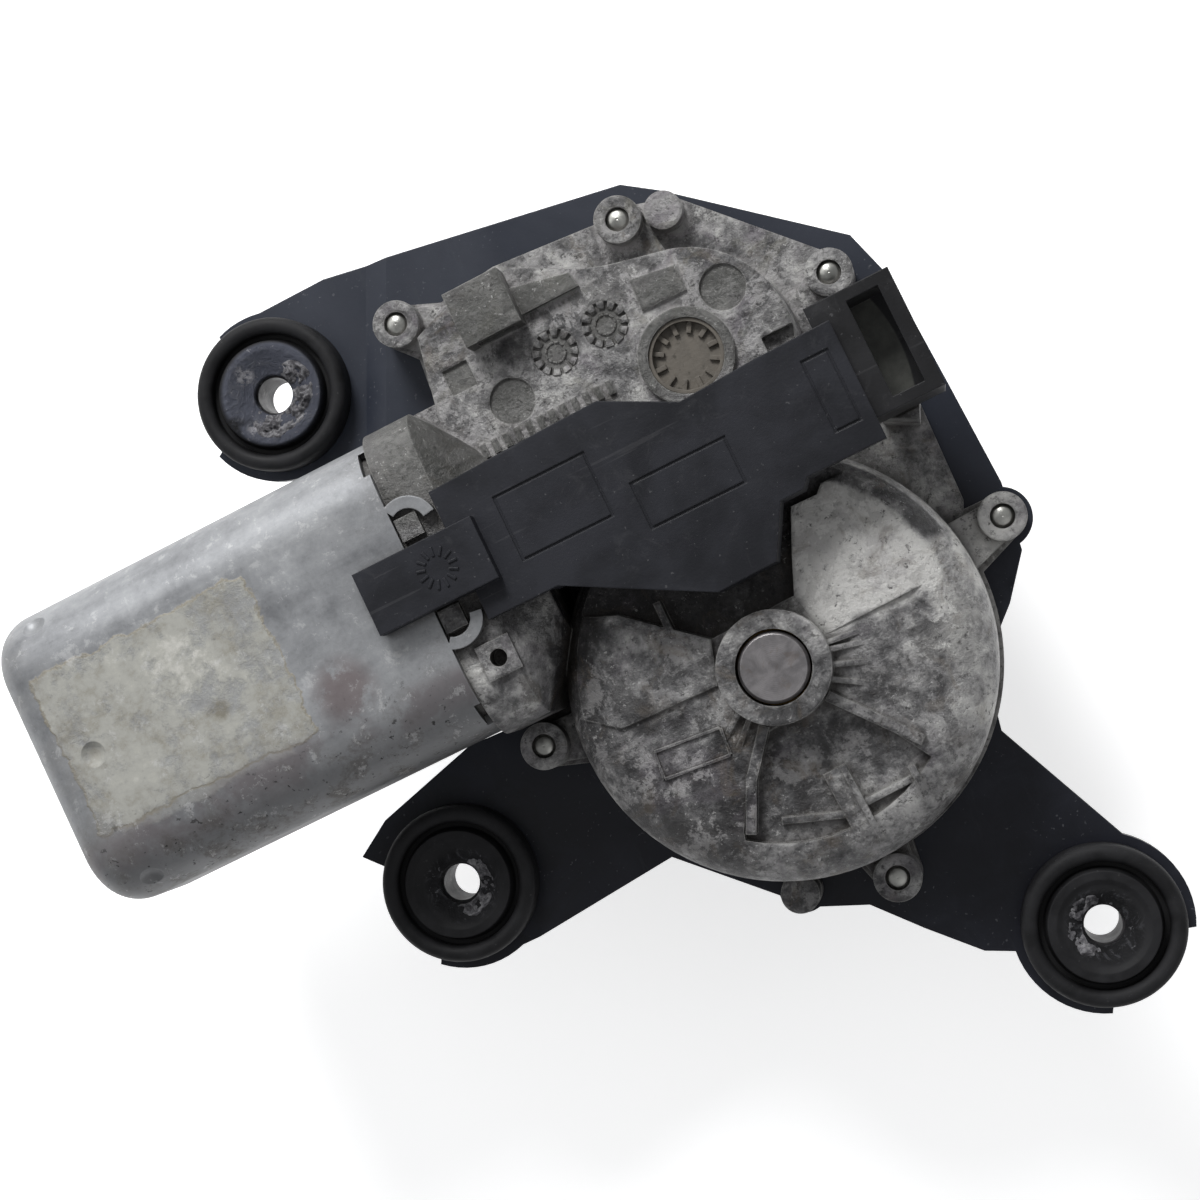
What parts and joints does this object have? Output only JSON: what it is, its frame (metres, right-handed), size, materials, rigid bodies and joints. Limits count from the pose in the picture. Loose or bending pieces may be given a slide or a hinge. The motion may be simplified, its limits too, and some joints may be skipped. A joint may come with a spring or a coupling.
{
  "type": "wiper motor",
  "caption": "Worm-geared electric wiper motor in a cast housing on a three-arm sheet bracket with rubber grommets and a connector socket.",
  "frame": {"origin": "on the output shaft's axis at the bracket's outer face, where the spindle tube starts", "axes": "+Z from the bracket towards the back of the gear housing, so the output shaft leaves along -Z; +X along the armature from the closed end of the can towards the connector"},
  "size_m": [0.1726, 0.1803, 0.0858],
  "materials": {
    "cast_aluminium": "dull oxidised die casting",
    "zinc_sheet": "satin zinc-plated sheet",
    "black_sheet": "satin blue-black coating",
    "steel": "turned steel",
    "zinc_screw": "zinc-plated",
    "black_rubber": "moulded rubber",
    "gasket_rubber": "moulded sheet",
    "cover_plastic": "matte moulded",
    "carrier_plastic": "moulded",
    "pin_tin": "tinned",
    "copper": "copper",
    "sintered_bronze": "oiled sintered bronze",
    "spring_steel": "spring steel",
    "ferrite": "ferrite",
    "carbon": "pressed carbon",
    "board_green": "glass-fibre board",
    "relay_black": "moulded",
    "capacitor_sleeve": "sleeved can",
    "vent_membrane": "moulded vent",
    "wheel_plastic": "moulded nylon",
    "seal_rubber": "moulded lip seal",
    "lamination_steel": "stacked sheet",
    "enamel_copper": "enamelled wire",
    "sensor_magnet": "bonded magnet"
  },
  "bodies": {
    "housing": {"gear_housing": "cast_aluminium", "bracket_plate": "black_sheet", "cover_gasket": "gasket_rubber", "housing_screws": "zinc_screw", "locating_dowels": "steel", "upper_grommet": "black_rubber", "lower_grommet": "black_rubber", "right_grommet": "black_rubber", "upper_sleeve": "zinc_screw", "lower_sleeve": "zinc_screw", "right_sleeve": "zinc_screw", "motor_can": "zinc_sheet", "field_magnets": "ferrite", "rear_bush": "sintered_bronze", "bush_retainer": "spring_steel", "front_bush": "sintered_bronze", "end_bush": "sintered_bronze", "thrust_pad": "relay_black", "brush_holder": "carrier_plastic", "carbon_brushes": "carbon", "brush_springs": "spring_steel", "connector_carrier": "carrier_plastic", "connector_pins": "pin_tin", "lead_frame": "copper", "terminal_cover": "cover_plastic", "control_board": "board_green", "board_relay": "relay_black", "board_capacitor": "capacitor_sleeve", "breather": "vent_membrane", "upper_bush": "sintered_bronze", "spindle_tube": "steel", "lower_bush": "sintered_bronze", "shaft_seal": "seal_rubber"},
    "output": {"output_shaft": "steel", "worm_wheel": "wheel_plastic", "wheel_hub": "steel", "thrust_washers": "spring_steel", "retaining_ring": "spring_steel"},
    "armature": {"armature_shaft": "steel", "lamination_stack": "lamination_steel", "windings": "enamel_copper", "commutator": "copper", "sensor_ring": "sensor_magnet"}
  },
  "joints": [
    {"name": "output_sweep", "type": "hinge", "parent": "housing", "child": "output", "pos_m": [0, 0, 0], "axis": [0, 0, 1], "range_deg": [-60, 60]},
    {"name": "armature_spin", "type": "hinge", "parent": "housing", "child": "armature", "pos_m": [0, 0.038, 0.0175], "axis": [1, 0, 0], "range_deg": [-4020, 4020]}
  ],
  "couplings": [
    {"joint": "armature_spin", "follows": "output_sweep", "ratio": 67}
  ]
}
